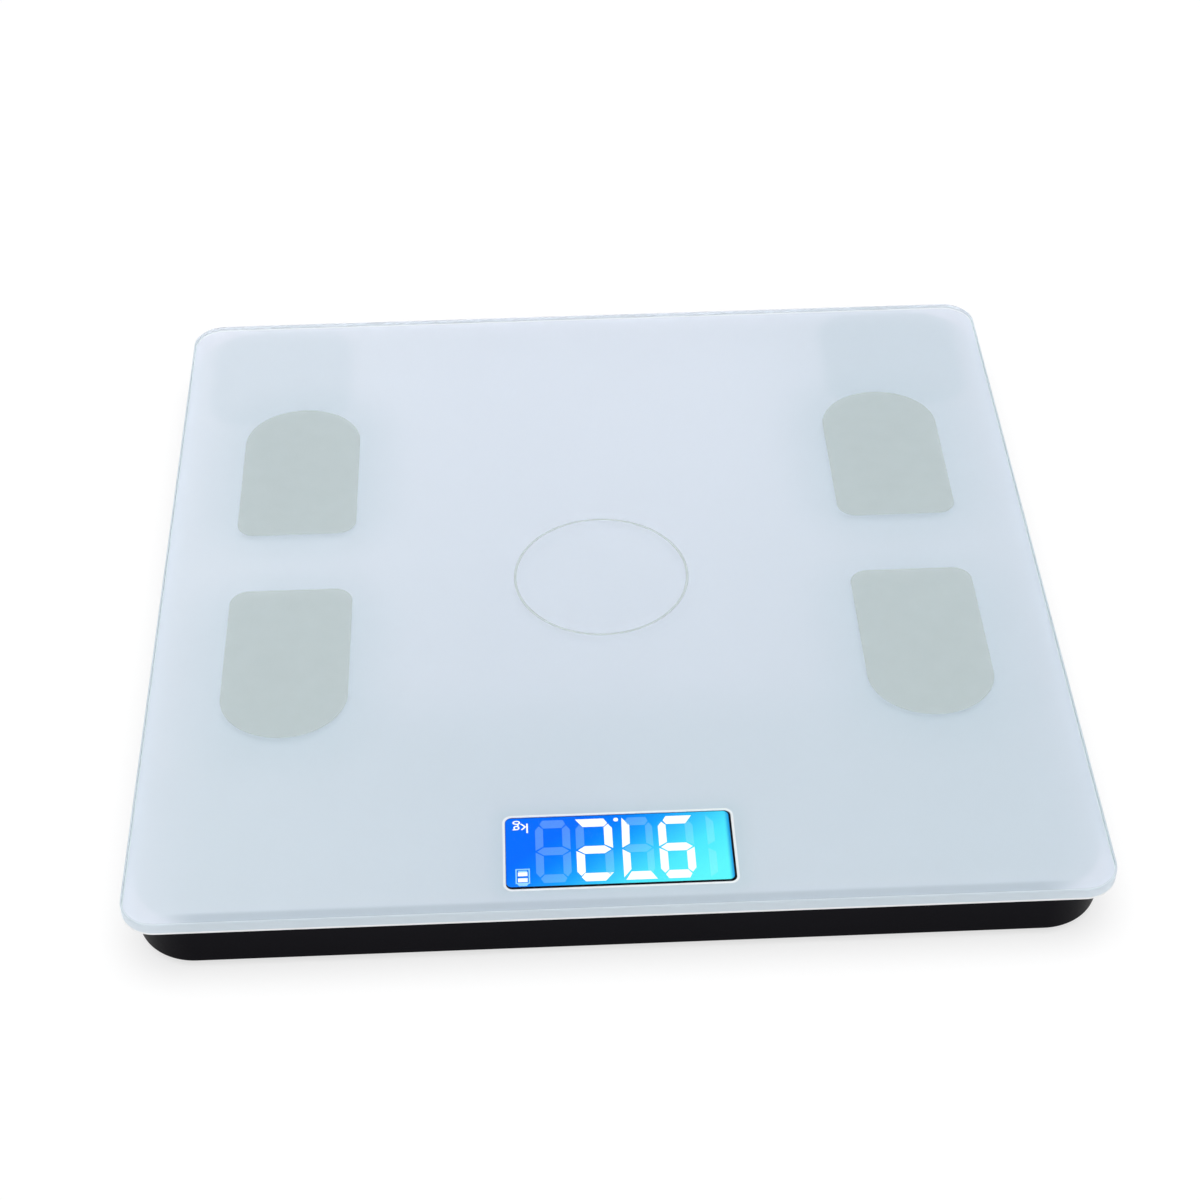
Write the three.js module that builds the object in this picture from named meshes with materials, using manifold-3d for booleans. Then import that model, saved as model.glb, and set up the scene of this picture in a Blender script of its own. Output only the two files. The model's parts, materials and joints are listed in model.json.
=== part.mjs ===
// Digital bathroom scale: a glass platform on a shallow plastic tray, four load-cell feet,
// four conductive electrodes, and a backlit liquid-crystal display at the +Y edge.
// Millimetres. The origin is on the ground under the middle, +Z is up, and the display reads
// upright to somebody who stands at the -Y edge and looks down.
import * as THREE from 'three';
import { mergeVertices } from 'three/addons/utils/BufferGeometryUtils.js';
import Module from 'manifold-3d';

const wasm = await Module();
wasm.setup();

// ---- Driving dimensions -------------------------------------------------------------------

const SIDE = 260;
const HEIGHT = 20;
const GLASS_THICKNESS = 4;
const GLASS_CORNER = 9.5;
const GLASS_ARRIS = 0.5;
const FILM_THICKNESS = 0.2;
const FILM_INSET = 0.5;

const TRAY_INSET = 2;
const TRAY_CORNER = 16.5;
const TRAY_BOTTOM = 2.4;
const TRAY_WALL = 2.4;
const TRAY_FLOOR = 2;
const TRAY_EDGE = 0.8;
const GASKET_THICKNESS = 0.5;
const GASKET_INSET = 0.3;
const RIB_THICKNESS = 1.4;
const RIB_HEIGHT = 3;
const RIB_SPACING = 60;

const COATING = 0.15;
const COATING_GAP = 0.05;
const ELECTRODE_WIDTH = 36;
const ELECTRODE_LENGTH = 61;
const ELECTRODE_ARCH = 16.5;
const ELECTRODE_CORNER = 5.5;
const ELECTRODE_X = 91.4;
const ELECTRODE_MIDDLE_Y = -9.2;
const ELECTRODE_GAP = 25;
const RING_RADIUS = 25.5;
const RING_LINE = 0.75;
const RING_Y = 1.6;

const WINDOW_WIDTH = 60.4;
const WINDOW_DEPTH = 24.7;
const WINDOW_CORNER = 1.8;
const WINDOW_Y = 107.9;

const FOOT_X = 100;
const FOOT_Y = 101;
const FOOT_RADIUS = 18;
const FOOT_TRAVEL = 0.6;
const FOOT_GAP = 0.8;
const FOOT_WALL = 2.2;
const CUP_BOTTOM = 0.8;
const CUP_TOP = 4.6;
const CUP_EDGE = 0.8;
const STUD_RADIUS = 5.5;
const PAD_RADIUS = 15.2;
const PAD_THICKNESS = 1.8;
const SEAT_SIDE = 46;
const SEAT_CORNER = 9;
const SEAT_HOLLOW = 27;
const SEAT_SKIN = 1.6;
const LOAD_CELL_SIDE = 36;
const LOAD_CELL_THICKNESS = 1.6;
const LOAD_CELL_CORNER = 4;
const TONGUE_SLOT = 11.5;
const TONGUE_HALF = 6;

const BATTERY_RADIUS = 5.15;
const BATTERY_LENGTH = 44.5;
const BATTERY_Y = 20;
const CELL_EDGE = 0.5;
const CELL_NIPPLE_RADIUS = 1.9;
const CELL_NIPPLE_HEIGHT = 1.1;
const CONTACT_THICKNESS = 0.5;
const CONTACT_HALF_HEIGHT = 4.4;
const SPRING_LENGTH = 3.9;
const SPRING_TURNS = 3;
const SPRING_WIRE = 0.35;
const SPRING_BASE_RADIUS = 3.6;
const SPRING_TIP_RADIUS = 2.4;
const SPRING_START = 0.45;
const BAY_LENGTH = 50.4;
const BAY_WIDTH = 22.8;
const BAY_WALL = 1.2;
const BAY_RIM = 2.5;
const BAY_RIM_TOP = 6.4;
const DOOR_LENGTH = 58;
const DOOR_WIDTH = 28;
const DOOR_THICKNESS = 1.6;
const DOOR_CORNER = 2;
const TONGUE_REACH = 1.6;
const TONGUE_WIDTH = 5;
const TONGUE_OFFSETS = [-8, 8];
const LATCH_INSET = 1.4;
const LATCH_WIDTH = 8;
const LATCH_TOP = 6.6;
const GRIP_OFFSETS = [-8, -6, -4];
const GRIP_WIDTH = 16;
const NOTCH_RADIUS = 9;

const BOARD_WIDTH = 78;
const BOARD_DEPTH = 41;
const BOARD_THICKNESS = 1.2;
const BOARD_Y = 104;
const SCREW_INSET = 2.7;
const SCREW_BOSS_RADIUS = 2.6;
const SCREW_PILOT_RADIUS = 1.3;
const SCREW_HOLE_RADIUS = 1.4;
const BUTTON_X = 20;
const BUTTON_Y = 92;
const BUTTON_RADIUS = 4;
const BUTTON_TRAVEL = 0.5;
const BUTTON_FLANGE = 1.6;
const BUTTON_FLANGE_THICKNESS = 0.8;
const BUTTON_GUIDE_WALL = 1.4;
const SWITCH_SIDE = 6;
const SWITCH_STEM_RADIUS = 1.6;
const SWITCH_STEM_LENGTH = 0.6;

const CABLE_RADIUS = 0.8;
const LEAD_RADIUS = 0.6;
const CLEARANCE = 0.3;
const TOUCH_GAP = 0.1;

// Levels above the ground that the inner parts are stacked from.
const SEAT_BOTTOM = 6.3;
const BOARD_BOTTOM = 8.6;
const LOAD_CELL_TOP = 10;
const BAY_CEILING = 15;
const LCD_LIP = 0.45;
const LCD_THICKNESS = 2.2;

// Levels that follow from the driving dimensions.
const GLASS_BOTTOM = HEIGHT - GLASS_THICKNESS;
const FILM_BOTTOM = GLASS_BOTTOM - FILM_THICKNESS;
const TRAY_TOP = FILM_BOTTOM - GASKET_THICKNESS;
const TRAY_SIDE = SIDE - 2 * TRAY_INSET;
const FLOOR_TOP = TRAY_BOTTOM + TRAY_FLOOR;
const RIB_TOP = FLOOR_TOP + RIB_HEIGHT;
const INNER_SIDE = TRAY_SIDE - 2 * TRAY_WALL;
const INNER_CORNER = TRAY_CORNER - TRAY_WALL;
const LOAD_CELL_BOTTOM = LOAD_CELL_TOP - LOAD_CELL_THICKNESS;
const BOARD_TOP = BOARD_BOTTOM + BOARD_THICKNESS;
const LCD_TOP = FILM_BOTTOM - LCD_LIP;
const LCD_BOTTOM = LCD_TOP - LCD_THICKNESS;
const DOOR_TOP = TRAY_BOTTOM + DOOR_THICKNESS;
const BUTTON_FLANGE_LEVEL = FLOOR_TOP + 0.2;

// ---- Materials ----------------------------------------------------------------------------

const material = (color, roughness, metalness = 0, more = {}) =>
  new THREE.MeshStandardMaterial({ color, roughness, metalness, ...more });

const GLASS = material(0xdfe9ee, 0.05, 0, { transparent: true, opacity: 0.5 });
const INK = material(0xd9e0eb, 0.6);
const COATED = material(0xbfc8c8, 0.12);
const BLACK_PLASTIC = material(0x15151a, 0.45);
const FOAM = material(0x0c0c0d, 0.9);
const GREY_PLASTIC = material(0x2a2c30, 0.5);
const WHITE_PLASTIC = material(0xe4e6e6, 0.5);
const RUBBER = material(0x1b1b1c, 0.85);
const STEEL = material(0xb4b8bc, 0.35, 1);
const SPRING_STEEL = material(0xc6c8ca, 0.25, 1);
const BOARD_GREEN = material(0x14522f, 0.4);
const EPOXY = material(0x0a0a0b, 0.25);
const LCD_BLUE = material(0x1c8cff, 0.1);
const LED_WHITE = material(0xf2f4e0, 0.3);
const BATTERY_SLEEVE = material(0x30343a, 0.35);
const CABLE_GREY = material(0x8c9094, 0.6);
const LEAD_RED = material(0xb02a24, 0.55);
const LEAD_BLACK = material(0x161616, 0.55);
const LEAD_WHITE = material(0xe6e6e2, 0.55);

// ---- Geometry helpers ---------------------------------------------------------------------

const group = new THREE.Group();

/** Adds one named sub-part to the scale. */
function add(name, geometry, finish, position = [0, 0, 0], rotation = [0, 0, 0]) {
  const mesh = new THREE.Mesh(geometry, finish);
  mesh.name = name;
  mesh.position.set(...position);
  mesh.rotation.set(...rotation);
  group.add(mesh);
}

/** A rectangle with round corners about (x, y). */
function roundedRect(width, depth, radius, x = 0, y = 0) {
  const a = width / 2;
  const b = depth / 2;
  const shape = new THREE.Shape();
  shape.moveTo(x - a + radius, y - b);
  shape.lineTo(x + a - radius, y - b);
  shape.absarc(x + a - radius, y - b + radius, radius, -Math.PI / 2, 0);
  shape.lineTo(x + a, y + b - radius);
  shape.absarc(x + a - radius, y + b - radius, radius, 0, Math.PI / 2);
  shape.lineTo(x - a + radius, y + b);
  shape.absarc(x - a + radius, y + b - radius, radius, Math.PI / 2, Math.PI);
  shape.lineTo(x - a, y - b + radius);
  shape.absarc(x - a + radius, y - b + radius, radius, Math.PI, 1.5 * Math.PI);
  return shape;
}

/** A flat plate of the shape's outline between two heights, with softened edges if asked. */
function plate(shape, bottom, top, { soft = 0, steps = 2, curve = 6 } = {}) {
  const geometry = new THREE.ExtrudeGeometry(shape, {
    depth: top - bottom - 2 * soft,
    curveSegments: curve,
    bevelEnabled: soft > 0,
    bevelThickness: soft,
    bevelSize: soft,
    bevelOffset: -soft,
    bevelSegments: steps,
  });
  return geometry.translate(0, 0, bottom + soft);
}

/** A box between two corners. */
function box(x0, y0, z0, x1, y1, z1) {
  const geometry = new THREE.BoxGeometry(x1 - x0, y1 - y0, z1 - z0);
  return geometry.translate((x0 + x1) / 2, (y0 + y1) / 2, (z0 + z1) / 2);
}

/** A box centred on (x, y), between two heights. */
function block(x, y, width, depth, bottom, top) {
  return box(x - width / 2, y - depth / 2, bottom, x + width / 2, y + depth / 2, top);
}

/** An upright cylinder between two heights. */
function post(x, y, radius, bottom, top, sides = 24) {
  const geometry = new THREE.CylinderGeometry(radius, radius, top - bottom, sides);
  return geometry.rotateX(Math.PI / 2).translate(x, y, (bottom + top) / 2);
}

/** A body turned about the upright axis from [radius, height] points. */
function turned(points, sides) {
  const profile = points.map(([radius, height]) => new THREE.Vector2(radius, height));
  return new THREE.LatheGeometry(profile, sides).rotateX(Math.PI / 2);
}

/** A round wire or cable along a smooth curve through the given points. */
function tube(points, radius, steps, sides = 6) {
  const path = new THREE.CatmullRomCurve3(points.map((p) => new THREE.Vector3(...p)), false,
    'centripetal');
  return sweep(path, radius, steps, sides);
}

/** A round section swept along a curve. */
function sweep(path, radius, steps, sides) {
  const section = new THREE.Shape();
  for (let i = 0; i < sides; i += 1) {
    const angle = (2 * Math.PI * i) / sides;
    const move = i === 0 ? 'moveTo' : 'lineTo';
    section[move](radius * Math.cos(angle), radius * Math.sin(angle));
  }
  return new THREE.ExtrudeGeometry(section, { steps, extrudePath: path, bevelEnabled: false });
}

/** A closed geometry as a solid for cutting and joining. */
function solid(geometry) {
  const bare = geometry.index ? geometry.toNonIndexed() : geometry.clone();
  bare.deleteAttribute('normal');
  bare.deleteAttribute('uv');
  const merged = mergeVertices(bare, 1e-4);
  return new wasm.Manifold(new wasm.Mesh({
    numProp: 3,
    vertProperties: new Float32Array(merged.attributes.position.array),
    triVerts: new Uint32Array(merged.index.array),
  }));
}

/** Turns a finished solid back into a geometry. */
function shaped(body) {
  const mesh = body.getMesh();
  const geometry = new THREE.BufferGeometry();
  geometry.setAttribute('position', new THREE.BufferAttribute(mesh.vertProperties, 3));
  geometry.setIndex(new THREE.BufferAttribute(mesh.triVerts, 1));
  return geometry;
}

/** Joins some pieces onto a body and then cuts others from it. */
function build(body, joined, cuts) {
  let result = solid(body);
  for (const piece of joined) result = result.add(solid(piece));
  for (const cut of cuts) result = result.subtract(solid(cut));
  return shaped(result);
}

/** The four corners, as a name and the signs of x and y. */
const CORNERS = [
  ['front_left', -1, 1],
  ['front_right', 1, 1],
  ['rear_left', -1, -1],
  ['rear_right', 1, -1],
];

// ---- Glass, print and electrodes ----------------------------------------------------------

/** The outline of one electrode: small corners towards the gap, an arch at the other end. */
function electrodeShape(x, toward, grow) {
  const half = ELECTRODE_WIDTH / 2 + grow;
  const near = ELECTRODE_MIDDLE_Y + toward * (ELECTRODE_GAP / 2 - grow);
  const far = near + toward * (ELECTRODE_LENGTH + 2 * grow);
  const arch = far - toward * (ELECTRODE_ARCH + grow);
  const corner = ELECTRODE_CORNER;
  const shape = new THREE.Shape();
  const up = toward > 0;
  const start = up ? 1.5 * Math.PI : Math.PI / 2;
  shape.moveTo(x - half + corner, near);
  shape.lineTo(x + half - corner, near);
  shape.absarc(x + half - corner, near + toward * corner, corner, start, up ? 2 * Math.PI : 0, !up);
  shape.lineTo(x + half, arch);
  shape.absellipse(x, arch, half, ELECTRODE_ARCH + grow, up ? 0 : 2 * Math.PI, Math.PI, !up, 0);
  shape.lineTo(x - half, near + toward * corner);
  shape.absarc(x - half + corner, near + toward * corner, corner, Math.PI, start, !up);
  return shape;
}

/** The ring in the middle of the platform, as a closed profile turned about its centre. */
function ringGeometry(grow, bottom, top) {
  const inside = RING_RADIUS - RING_LINE / 2 - grow;
  const outside = RING_RADIUS + RING_LINE / 2 + grow;
  const profile = [[inside, top], [inside, bottom], [outside, bottom], [outside, top],
    [inside, top]];
  return turned(profile, 64).translate(0, RING_Y, 0);
}

function addPlatform() {
  const floor = HEIGHT - COATING;
  const above = HEIGHT + 1;
  const pockets = CORNERS.map(([, sx, sy]) =>
    plate(electrodeShape(sx * ELECTRODE_X, sy, COATING_GAP), floor, above, { curve: 8 }));
  pockets.push(ringGeometry(COATING_GAP, floor, above));
  const blank = plate(roundedRect(SIDE, SIDE, GLASS_CORNER), GLASS_BOTTOM, HEIGHT,
    { soft: GLASS_ARRIS, steps: 2, curve: 6 });
  add('glass_platform', build(blank, [], pockets), GLASS);

  for (const [corner, sx, sy] of CORNERS) {
    const shape = electrodeShape(sx * ELECTRODE_X, sy, 0);
    add(`electrode_${corner}`, plate(shape, floor, HEIGHT, { curve: 8 }), COATED);
  }
  add('centre_ring', ringGeometry(0, floor, HEIGHT), COATED);
}

function addPrint() {
  const side = SIDE - 2 * FILM_INSET;
  const shape = roundedRect(side, side, GLASS_CORNER - FILM_INSET);
  shape.holes.push(roundedRect(WINDOW_WIDTH, WINDOW_DEPTH, WINDOW_CORNER, 0, WINDOW_Y));
  add('printed_backing', plate(shape, FILM_BOTTOM, GLASS_BOTTOM), INK);
}

// ---- Tray ---------------------------------------------------------------------------------

function addGasket() {
  const side = TRAY_SIDE - 2 * GASKET_INSET;
  const shape = roundedRect(side, side, TRAY_CORNER - GASKET_INSET);
  shape.holes.push(roundedRect(INNER_SIDE, INNER_SIDE, INNER_CORNER));
  add('adhesive_gasket', plate(shape, TRAY_TOP, FILM_BOTTOM, { curve: 12 }), FOAM);
}

/** The stiffening ribs on the tray's floor. */
function trayRibs() {
  const reach = INNER_SIDE / 2 + TRAY_WALL / 2;
  const thin = RIB_THICKNESS / 2;
  const low = TRAY_BOTTOM + TRAY_FLOOR / 2;
  const ribs = [];
  for (const at of [-RIB_SPACING, RIB_SPACING]) {
    ribs.push(box(-reach, at - thin, low, reach, at + thin, RIB_TOP));
    ribs.push(box(at - thin, -reach, low, at + thin, reach, RIB_TOP));
  }
  ribs.push(box(-thin, -reach, low, thin, -RIB_SPACING, RIB_TOP));
  return ribs;
}

const BOARD_SCREWS = [[-1, -1], [1, -1], [-1, 1], [1, 1]].map(([sx, sy]) =>
  [sx * (BOARD_WIDTH / 2 - SCREW_INSET), BOARD_Y + sy * (BOARD_DEPTH / 2 - SCREW_INSET)]);

const DOOR_HINGE_X = -DOOR_LENGTH / 2;

/** The battery bay: walls and a ceiling that rise from a thickened part of the floor. */
function bayWalls() {
  const low = TRAY_BOTTOM + TRAY_FLOOR / 2;
  const rim = roundedRect(DOOR_LENGTH + 2 * BAY_RIM, DOOR_WIDTH + 2 * BAY_RIM, BAY_RIM, 0,
    BATTERY_Y);
  const walls = block(0, BATTERY_Y, BAY_LENGTH + 2 * BAY_WALL, BAY_WIDTH + 2 * BAY_WALL, low,
    FILM_BOTTOM - TOUCH_GAP);
  return [plate(rim, low, BAY_RIM_TOP, { curve: 3 }), walls];
}

/** What is cut from the tray for the bay, its door, the door's tongues and the finger notch. */
function bayCuts() {
  const cuts = [block(0, BATTERY_Y, BAY_LENGTH, BAY_WIDTH, 0, BAY_CEILING)];
  const mouth = roundedRect(DOOR_LENGTH + 2 * CLEARANCE, DOOR_WIDTH + 2 * CLEARANCE,
    DOOR_CORNER + CLEARANCE, 0, BATTERY_Y);
  cuts.push(plate(mouth, 0, DOOR_TOP + TOUCH_GAP, { curve: 6 }));
  for (const offset of TONGUE_OFFSETS) {
    cuts.push(block(DOOR_HINGE_X - 0.5, BATTERY_Y + offset, 2 * TONGUE_REACH + 2,
      TONGUE_WIDTH + 1, TRAY_BOTTOM + CLEARANCE, DOOR_TOP + 1));
  }
  cuts.push(block(DOOR_LENGTH / 2 - LATCH_INSET - 0.4, BATTERY_Y, 4.2, LATCH_WIDTH + 2,
    TRAY_BOTTOM - 1, LATCH_TOP + 0.8));
  const notch = new THREE.SphereGeometry(NOTCH_RADIUS, 32, 16);
  cuts.push(notch.translate(DOOR_LENGTH / 2 + 2.5, BATTERY_Y, FLOOR_TOP - 0.4 - NOTCH_RADIUS));
  return cuts;
}

function addTray() {
  const blank = plate(roundedRect(TRAY_SIDE, TRAY_SIDE, TRAY_CORNER), TRAY_BOTTOM, 2 * HEIGHT,
    { soft: TRAY_EDGE, steps: 4, curve: 12 });
  const hollow = plate(roundedRect(INNER_SIDE, INNER_SIDE, INNER_CORNER), FLOOR_TOP,
    2 * HEIGHT + 1, { curve: 12 });
  const lid = box(-SIDE, -SIDE, TRAY_TOP, SIDE, SIDE, 3 * HEIGHT);
  const shell = shaped(solid(blank).subtract(solid(hollow)).subtract(solid(lid)));

  const joined = [...trayRibs(), ...bayWalls()];
  const cuts = bayCuts();
  for (const [, sx, sy] of CORNERS) {
    const x = sx * FOOT_X;
    const y = sy * FOOT_Y;
    joined.push(post(x, y, FOOT_RADIUS + FOOT_GAP + FOOT_WALL, TRAY_BOTTOM + 1,
      SEAT_BOTTOM - 0.6, 40));
    cuts.push(post(x, y, FOOT_RADIUS + FOOT_GAP, 0, SEAT_BOTTOM, 40));
  }
  for (const [x, y] of BOARD_SCREWS) {
    joined.push(post(x, y, SCREW_BOSS_RADIUS, TRAY_BOTTOM + 1, BOARD_BOTTOM, 12));
    cuts.push(post(x, y, SCREW_PILOT_RADIUS, FLOOR_TOP, BOARD_BOTTOM + 1, 10));
  }
  const guide = BUTTON_RADIUS + BUTTON_FLANGE + 0.4;
  joined.push(post(BUTTON_X, BUTTON_Y, guide + BUTTON_GUIDE_WALL, TRAY_BOTTOM + 1,
    BUTTON_FLANGE_LEVEL));
  cuts.push(post(BUTTON_X, BUTTON_Y, guide, FLOOR_TOP - TOUCH_GAP, FLOOR_TOP + 2));
  cuts.push(post(BUTTON_X, BUTTON_Y, BUTTON_RADIUS + CLEARANCE, 0, HEIGHT / 2));
  add('base_tray', build(shell, joined, cuts), BLACK_PLASTIC);
}

// ---- Battery bay --------------------------------------------------------------------------

function addDoor() {
  const leaf = plate(roundedRect(DOOR_LENGTH, DOOR_WIDTH, DOOR_CORNER, 0, BATTERY_Y),
    TRAY_BOTTOM, DOOR_TOP, { curve: 6 });
  const joined = [block(DOOR_LENGTH / 2 - LATCH_INSET, BATTERY_Y, 1.2, LATCH_WIDTH,
    TRAY_BOTTOM + 0.4, LATCH_TOP)];
  for (const offset of TONGUE_OFFSETS) {
    joined.push(block(DOOR_HINGE_X, BATTERY_Y + offset, 2 * TONGUE_REACH, TONGUE_WIDTH,
      TRAY_BOTTOM + 0.6, DOOR_TOP));
  }
  const grips = GRIP_OFFSETS.map((x) =>
    block(DOOR_LENGTH / 2 + x, BATTERY_Y, 0.9, GRIP_WIDTH, 0, TRAY_BOTTOM + 0.4));
  add('battery_door', build(leaf, joined, grips), BLACK_PLASTIC);
}

/** One AAA cell, along X, with its positive end towards `toward`. */
function cellGeometry(toward) {
  const r = BATTERY_RADIUS;
  const half = BATTERY_LENGTH / 2;
  const shoulder = half - CELL_NIPPLE_HEIGHT;
  const profile = [[0, -half], [r - CELL_EDGE, -half], [r, -half + CELL_EDGE],
    [r, shoulder - CELL_EDGE], [r - CELL_EDGE, shoulder], [CELL_NIPPLE_RADIUS, shoulder],
    [CELL_NIPPLE_RADIUS, half], [0, half]];
  return turned(profile, 24).rotateY((toward * Math.PI) / 2);
}

/** A cone of spring wire on a small plate, pointing along `toward`. */
function springGeometry(toward) {
  const steps = 12 * SPRING_TURNS;
  const coil = new THREE.CatmullRomCurve3(Array.from({ length: steps + 1 }, (_, i) => {
    const t = i / steps;
    const angle = 2 * Math.PI * SPRING_TURNS * t;
    const radius = SPRING_BASE_RADIUS + (SPRING_TIP_RADIUS - SPRING_BASE_RADIUS) * t;
    const along = SPRING_START + (SPRING_LENGTH - 2 * SPRING_START) * t;
    return new THREE.Vector3(toward * along, radius * Math.cos(angle), radius * Math.sin(angle));
  }));
  const base = block(toward * 0.2, 0, 0.4, 9, -CONTACT_HALF_HEIGHT, CONTACT_HALF_HEIGHT);
  return build(base, [sweep(coil, SPRING_WIRE, steps, 5)], []);
}

function addBatteries() {
  const inner = BAY_LENGTH / 2;
  const level = DOOR_TOP + 0.2 + BATTERY_RADIUS;
  for (const [number, toward] of [[1, 1], [2, -1]]) {
    const y = BATTERY_Y + toward * (BATTERY_RADIUS + 0.3);
    const plateX = toward * (inner - 0.4);
    add(`battery_cell_${number}`, cellGeometry(toward), BATTERY_SLEEVE,
      [plateX - toward * (0.55 + BATTERY_LENGTH / 2), y, level]);
    add(`battery_contact_${number}`, block(0, 0, CONTACT_THICKNESS, 8, -CONTACT_HALF_HEIGHT,
      CONTACT_HALF_HEIGHT), SPRING_STEEL, [plateX, y, level]);
    add(`battery_spring_${number}`, springGeometry(toward), SPRING_STEEL,
      [-toward * (inner - 0.1), y, level]);
  }
}

// ---- Feet and load cells ------------------------------------------------------------------

/** The housing that carries a load cell and bears against the glass. */
function seatGeometry(inward) {
  const body = plate(roundedRect(SEAT_SIDE, SEAT_SIDE, SEAT_CORNER), SEAT_BOTTOM, FILM_BOTTOM,
    { curve: 4 });
  const pocket = LOAD_CELL_SIDE + 2 * CLEARANCE;
  const cuts = [
    plate(roundedRect(pocket, pocket, LOAD_CELL_CORNER + CLEARANCE), 0, LOAD_CELL_TOP,
      { curve: 3 }),
    plate(roundedRect(SEAT_HOLLOW, SEAT_HOLLOW, 3), 0, FILM_BOTTOM - SEAT_SKIN, { curve: 3 }),
    block(inward * SEAT_SIDE / 2, 0, 12, 6, 0, LOAD_CELL_TOP),
  ];
  return build(body, [], cuts);
}

/** The load cell: a steel plate whose middle tongue bends when the foot pushes it. */
function loadCellGeometry() {
  const shape = roundedRect(LOAD_CELL_SIDE, LOAD_CELL_SIDE, LOAD_CELL_CORNER);
  const slot = new THREE.Path();
  slot.moveTo(-TONGUE_SLOT, -TONGUE_SLOT);
  slot.lineTo(TONGUE_SLOT, -TONGUE_SLOT);
  slot.lineTo(TONGUE_SLOT, TONGUE_SLOT);
  slot.lineTo(TONGUE_HALF, TONGUE_SLOT);
  slot.lineTo(TONGUE_HALF, -TONGUE_HALF);
  slot.lineTo(-TONGUE_HALF, -TONGUE_HALF);
  slot.lineTo(-TONGUE_HALF, TONGUE_SLOT);
  slot.lineTo(-TONGUE_SLOT, TONGUE_SLOT);
  shape.holes.push(slot);
  return plate(shape, LOAD_CELL_BOTTOM, LOAD_CELL_TOP, { curve: 3 });
}

/** The foot: a shallow cup for the rubber pad, with a stud that reaches the load cell. */
function footGeometry() {
  const r = FOOT_RADIUS;
  const socket = PAD_RADIUS + CLEARANCE;
  const stud = LOAD_CELL_BOTTOM - FOOT_TRAVEL - TOUCH_GAP;
  const profile = [[0, PAD_THICKNESS], [socket, PAD_THICKNESS], [socket, CUP_BOTTOM],
    [r - CUP_EDGE, CUP_BOTTOM], [r, CUP_BOTTOM + CUP_EDGE], [r, CUP_TOP],
    [STUD_RADIUS, CUP_TOP + 0.4], [STUD_RADIUS, stud], [0, stud]];
  return turned(profile, 32);
}

function addFeet() {
  const padProfile = [[0, 0], [PAD_RADIUS - 0.5, 0], [PAD_RADIUS, 0.5],
    [PAD_RADIUS, PAD_THICKNESS], [0, PAD_THICKNESS]];
  for (const [corner, sx, sy] of CORNERS) {
    const place = [sx * FOOT_X, sy * FOOT_Y, 0];
    add(`load_cell_seat_${corner}`, seatGeometry(-sx), GREY_PLASTIC, place);
    add(`load_cell_${corner}`, loadCellGeometry(), STEEL, place);
    add(`foot_cup_${corner}`, footGeometry(), BLACK_PLASTIC, place);
    add(`foot_pad_${corner}`, turned(padProfile, 32), RUBBER, place);
  }
}

// ---- Display and circuit board ------------------------------------------------------------

function addDisplay() {
  const glassWidth = WINDOW_WIDTH + 3;
  const glassDepth = WINDOW_DEPTH + 4.2;
  add('lcd_panel', block(0, WINDOW_Y, glassWidth, glassDepth, LCD_BOTTOM, LCD_TOP), LCD_BLUE);

  const frameShape = roundedRect(glassWidth + 4, glassDepth + 4, 1.5, 0, WINDOW_Y);
  const opening = roundedRect(WINDOW_WIDTH - 0.8, WINDOW_DEPTH - 0.8, 1.6, 0, WINDOW_Y);
  const inside = block(0, WINDOW_Y, glassWidth + 0.4, glassDepth + 0.4, 0, LCD_TOP);
  add('lcd_frame', build(plate(frameShape, BOARD_TOP, FILM_BOTTOM, { curve: 3 }), [],
    [inside, plate(opening, 0, HEIGHT, { curve: 3 })]), BLACK_PLASTIC);

  const guideDepth = glassDepth - 5.4;
  add('backlight_guide', block(1.5, WINDOW_Y, glassWidth - 4, guideDepth, BOARD_TOP + 0.3,
    LCD_BOTTOM - 0.2), WHITE_PLASTIC);
  add('backlight_led', block(-glassWidth / 2 + 1.4, WINDOW_Y, 1.6, 12, BOARD_TOP,
    LCD_BOTTOM - 0.4), LED_WHITE);
  for (const [side, sy] of [['front', 1], ['rear', -1]]) {
    add(`connector_strip_${side}`, block(0, WINDOW_Y + sy * (glassDepth / 2 - 1.1),
      glassWidth - 4, 1.6, BOARD_TOP, LCD_BOTTOM), FOAM);
  }
}

function addBoard() {
  const shape = roundedRect(BOARD_WIDTH, BOARD_DEPTH, 1.5, 0, BOARD_Y);
  for (const [x, y] of BOARD_SCREWS) {
    const hole = new THREE.Path();
    hole.absarc(x, y, SCREW_HOLE_RADIUS, 0, 2 * Math.PI);
    shape.holes.push(hole);
  }
  add('main_board', plate(shape, BOARD_BOTTOM, BOARD_TOP, { curve: 3 }), BOARD_GREEN);
  addComponents();

  const screwProfile = [[0, 4.6], [0.9, 4.6], [0.9, BOARD_TOP], [2.1, BOARD_TOP],
    [2.1, BOARD_TOP + 0.7], [1.4, BOARD_TOP + 1.2], [0, BOARD_TOP + 1.2]];
  BOARD_SCREWS.forEach(([x, y], i) => {
    add(`board_screw_${i + 1}`, turned(screwProfile, 8), SPRING_STEEL, [x, y, 0.4]);
  });
}

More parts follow.
